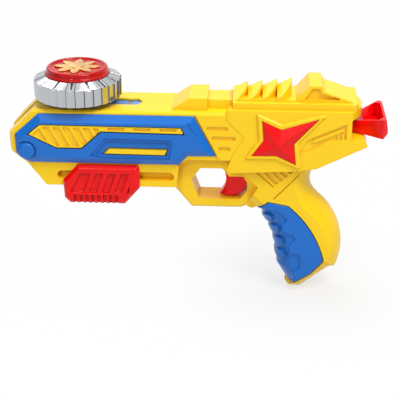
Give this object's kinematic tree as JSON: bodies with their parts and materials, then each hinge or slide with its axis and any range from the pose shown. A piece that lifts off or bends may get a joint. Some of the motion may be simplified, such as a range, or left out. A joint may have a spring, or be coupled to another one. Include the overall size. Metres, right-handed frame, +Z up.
{
  "type": "spinning top launcher",
  "caption": "Toy pistol that spins and launches a top: pull handle on a cord, sliding foregrip and carriage, trigger with sear, and a metal-ringed top on a drive cup.",
  "frame": {"origin": "the middle of the hand grip, on the parting plane of the shells", "axes": "X runs along the barrel with the muzzle towards -X, Y goes across it with the pictured side at -Y, and Z is up with the deck level"},
  "size_m": [0.227, 0.0524, 0.1425],
  "materials": {
    "yellow": "moulded yellow plastic, satin",
    "blue": "moulded blue plastic, satin",
    "red": "moulded red plastic, satin",
    "red_gloss": "polished red plastic",
    "light_blue": "moulded light blue plastic",
    "white": "plain white plastic",
    "dark": "plain dark plastic",
    "chrome": "bright plated metal",
    "steel": "plain steel",
    "gold": "gold plated relief",
    "cord": "braided cord"
  },
  "bodies": {
    "housing": {"left_shell": "yellow", "right_shell": "yellow", "left_side_panel": "blue", "right_side_panel": "blue", "left_star": "red", "right_star": "red", "left_grip_panel": "blue", "right_grip_panel": "blue", "shell_screws": "steel", "trigger_pin": "steel", "cord_eyelet": "dark", "launch_spring": "steel", "trigger_spring": "steel"},
    "carriage": {"launch_carriage": "light_blue", "foregrip": "red", "foregrip_screws": "steel", "recoil_spring": "steel", "cord_guide_pin": "steel"},
    "reel": {"cord_reel": "white", "cord_winding": "cord"},
    "spindle": {"spindle_shaft": "steel", "drive_cup": "dark", "ratchet_wheel": "steel", "shaft_clip": "steel"},
    "handle": {"pull_handle": "red", "pull_cord": "cord"},
    "trigger_body": {"trigger": "red"},
    "top": {"top_base": "dark", "top_ring": "chrome", "top_cap": "red_gloss", "top_rosette": "gold", "top_tip": "dark", "top_screws": "steel"}
  },
  "joints": [
    {"name": "carriage_slide", "type": "slide", "parent": "housing", "child": "carriage", "axis": [1, 0, 0], "range_m": [0, 0.0185], "stiffness_N_per_m": 250, "springref_m": -0.02, "deforming": ["launch_spring"]},
    {"name": "handle_pull", "type": "slide", "parent": "housing", "child": "handle", "axis": [1, 0, 0], "range_m": [0, 0.125], "stiffness_N_per_m": 15, "springref_m": -0.13},
    {"name": "reel_spin", "type": "hinge", "parent": "carriage", "child": "reel", "pos_m": [-0.136, 0, 0.066], "axis": [0, 0, -1], "range_deg": [0, 690]},
    {"name": "spindle_spin", "type": "hinge", "parent": "carriage", "child": "spindle", "pos_m": [-0.136, 0, 0.066], "axis": [0, 0, 1], "continuous": true},
    {"name": "trigger_pivot", "type": "hinge", "parent": "housing", "child": "trigger_body", "pos_m": [-0.046, 0, 0.046], "axis": [0, -1, 0], "range_deg": [-4, 6], "stiffness_Nm_per_rad": 0.3, "deforming": ["trigger_spring"]},
    {"name": "top_lift", "type": "slide", "parent": "spindle", "child": "top", "axis": [0, 0, 1], "range_m": [0, 0.04]}
  ],
  "couplings": [
    {"joint": "reel_spin", "follows": "handle_pull", "rad_per_m": 96.154}
  ]
}
